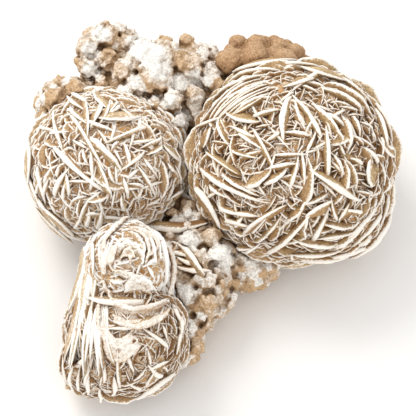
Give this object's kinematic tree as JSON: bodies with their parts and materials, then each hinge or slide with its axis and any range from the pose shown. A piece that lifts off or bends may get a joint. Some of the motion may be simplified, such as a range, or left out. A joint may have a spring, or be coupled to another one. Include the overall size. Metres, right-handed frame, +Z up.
{
  "type": "gypsum sand rose",
  "caption": "Natural cluster of globular gypsum roses with lens-shaped blades, joined by a knobbly sandy crust, resting on a flat underside.",
  "frame": {"origin": "on the resting plane, below the middle of the cluster's bounding box", "axes": "+Z up; -Y towards the front, from which the picture looks down; +X to the right seen from the front, with the largest rose on that side"},
  "size_m": [0.1518, 0.1688, 0.0756],
  "materials": {
    "sandy_gypsum": "rough, frosted white rims over sandy tan flanks"
  },
  "bodies": {
    "root": {"sand_rose": "sandy_gypsum"}
  },
  "joints": []
}
